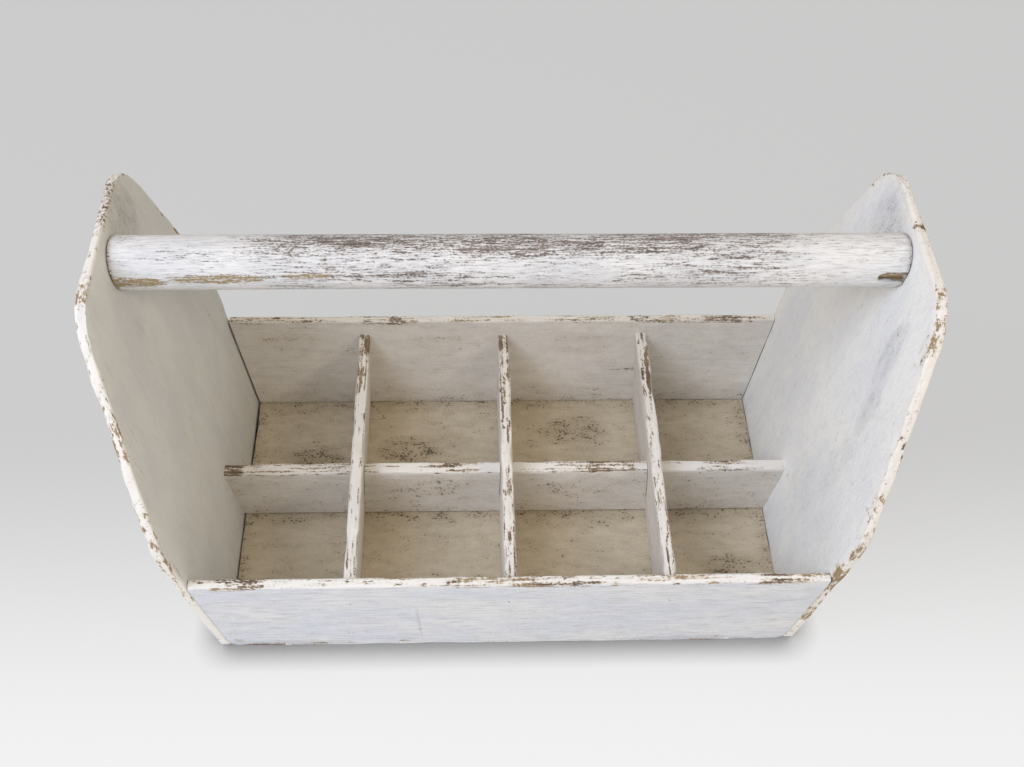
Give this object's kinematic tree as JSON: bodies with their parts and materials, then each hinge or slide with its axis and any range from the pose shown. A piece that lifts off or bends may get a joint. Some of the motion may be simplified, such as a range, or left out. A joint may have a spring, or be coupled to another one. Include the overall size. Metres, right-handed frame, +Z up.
{
  "type": "tool storage caddy",
  "caption": "Open wooden tool caddy with splayed end boards, low flared sides, halved dividers forming open compartments and a thick round carrying handle between the ends.",
  "frame": {"origin": "on the ground, under the middle of the caddy", "axes": "+X to the right along the handle, +Y to the back, +Z up"},
  "size_m": [0.6092, 0.3032, 0.3588],
  "materials": {
    "board_paint": "chalky white paint, worn through at the edges",
    "bottom_paint": "thin, scuffed and dusty paint over bare wood",
    "handle_paint": "white paint rubbed through along the grain",
    "nail_steel": "painted over"
  },
  "bodies": {
    "root": {"left_end_board": "board_paint", "right_end_board": "board_paint", "front_board": "board_paint", "back_board": "board_paint", "long_divider": "board_paint", "cross_divider_left": "board_paint", "cross_divider_middle": "board_paint", "cross_divider_right": "board_paint", "bottom_board": "bottom_paint", "handle": "handle_paint", "end_nails_front": "nail_steel", "end_nails_back": "nail_steel", "end_nails_bottom": "nail_steel", "end_nails_divider": "nail_steel", "front_nails_bottom": "nail_steel", "back_nails_bottom": "nail_steel", "front_nails_dividers": "nail_steel", "back_nails_dividers": "nail_steel", "handle_spikes": "nail_steel"}
  },
  "joints": []
}
